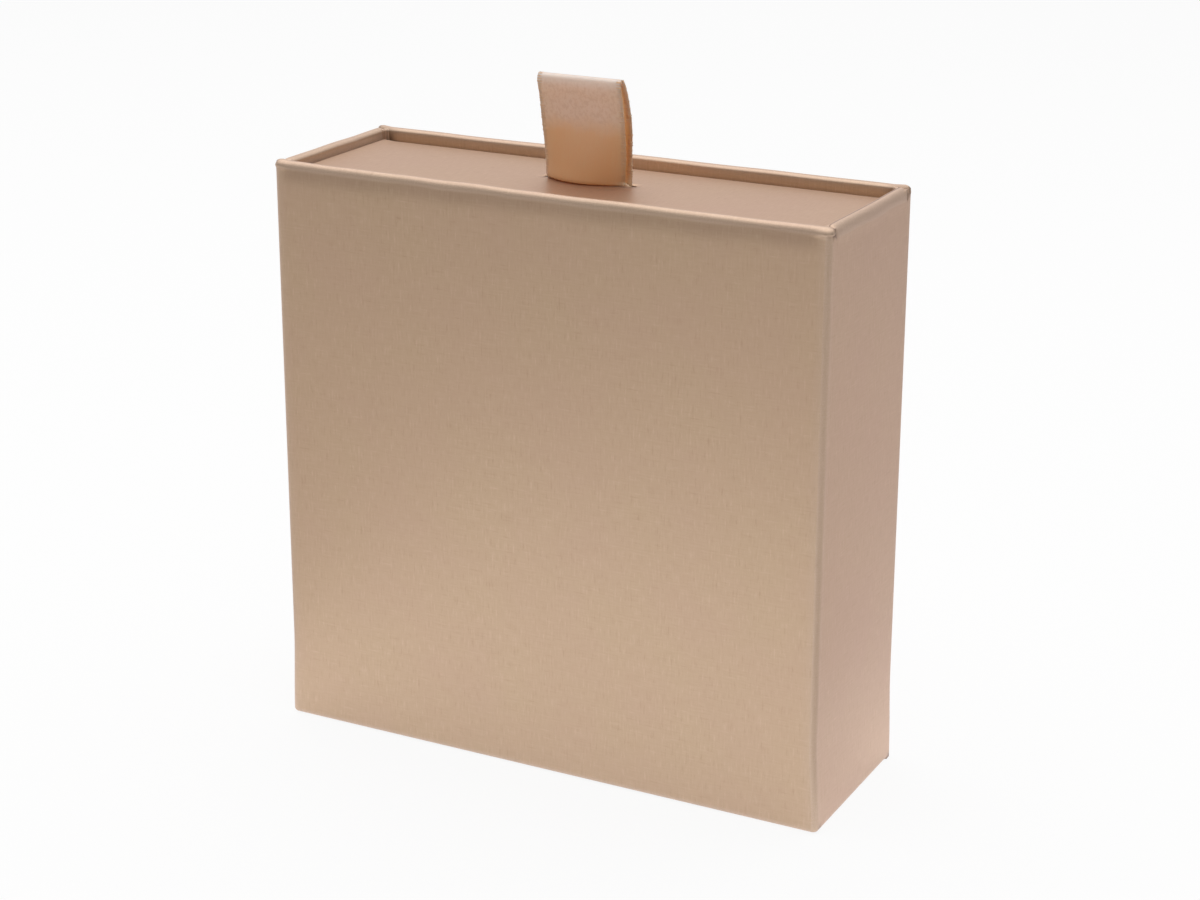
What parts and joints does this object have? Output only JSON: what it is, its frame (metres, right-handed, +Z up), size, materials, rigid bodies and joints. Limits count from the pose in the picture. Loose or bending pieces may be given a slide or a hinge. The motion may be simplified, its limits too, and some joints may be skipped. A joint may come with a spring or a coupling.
{
  "type": "sliding drawer gift box",
  "caption": "Slim upright rigid paper box: a closed-ended sleeve with a drawer tray that slides out by a folded satin ribbon loop.",
  "frame": {"origin": "centre of the foot, on the surface the box stands on", "axes": "+Z up, the way the tray pulls out of the sleeve; +X across the broad faces; -Y the broad face on the tray's open side"},
  "size_m": [0.1, 0.0336, 0.1162],
  "materials": {
    "cover_paper": "satin",
    "lining_paper": "satin",
    "greyboard": "matte",
    "stay_tape": "matte",
    "ribbon_satin": "satin"
  },
  "bodies": {
    "sleeve": {"sleeve_front_board": "greyboard", "sleeve_back_board": "greyboard", "sleeve_left_board": "greyboard", "sleeve_right_board": "greyboard", "sleeve_end_board": "greyboard", "sleeve_tape_front_left": "stay_tape", "sleeve_tape_front_right": "stay_tape", "sleeve_tape_back_left": "stay_tape", "sleeve_tape_back_right": "stay_tape", "sleeve_wrap": "cover_paper", "sleeve_lining": "lining_paper", "sleeve_end_lining": "lining_paper", "sleeve_foot_sheet": "cover_paper"},
    "tray": {"tray_pull_board": "greyboard", "tray_back_board": "greyboard", "tray_left_board": "greyboard", "tray_right_board": "greyboard", "tray_base_board": "greyboard", "tray_tape_back_left": "stay_tape", "tray_tape_back_right": "stay_tape", "tray_tape_pull_left": "stay_tape", "tray_tape_pull_right": "stay_tape", "tray_wrap": "cover_paper", "tray_lining": "lining_paper", "ribbon_tails": "ribbon_satin", "ribbon_patch": "cover_paper"},
    "pull": {"ribbon_loop": "ribbon_satin"}
  },
  "joints": [
    {"name": "tray_slide", "type": "slide", "parent": "sleeve", "child": "tray", "axis": [0, 0, 1], "range_m": [0, 0.1]},
    {"name": "ribbon_flex", "type": "hinge", "parent": "tray", "child": "pull", "pos_m": [0, 0.001, 0.09885], "axis": [1, 0, 0], "range_deg": [-70, 60], "stiffness_Nm_per_rad": 0.0005}
  ]
}
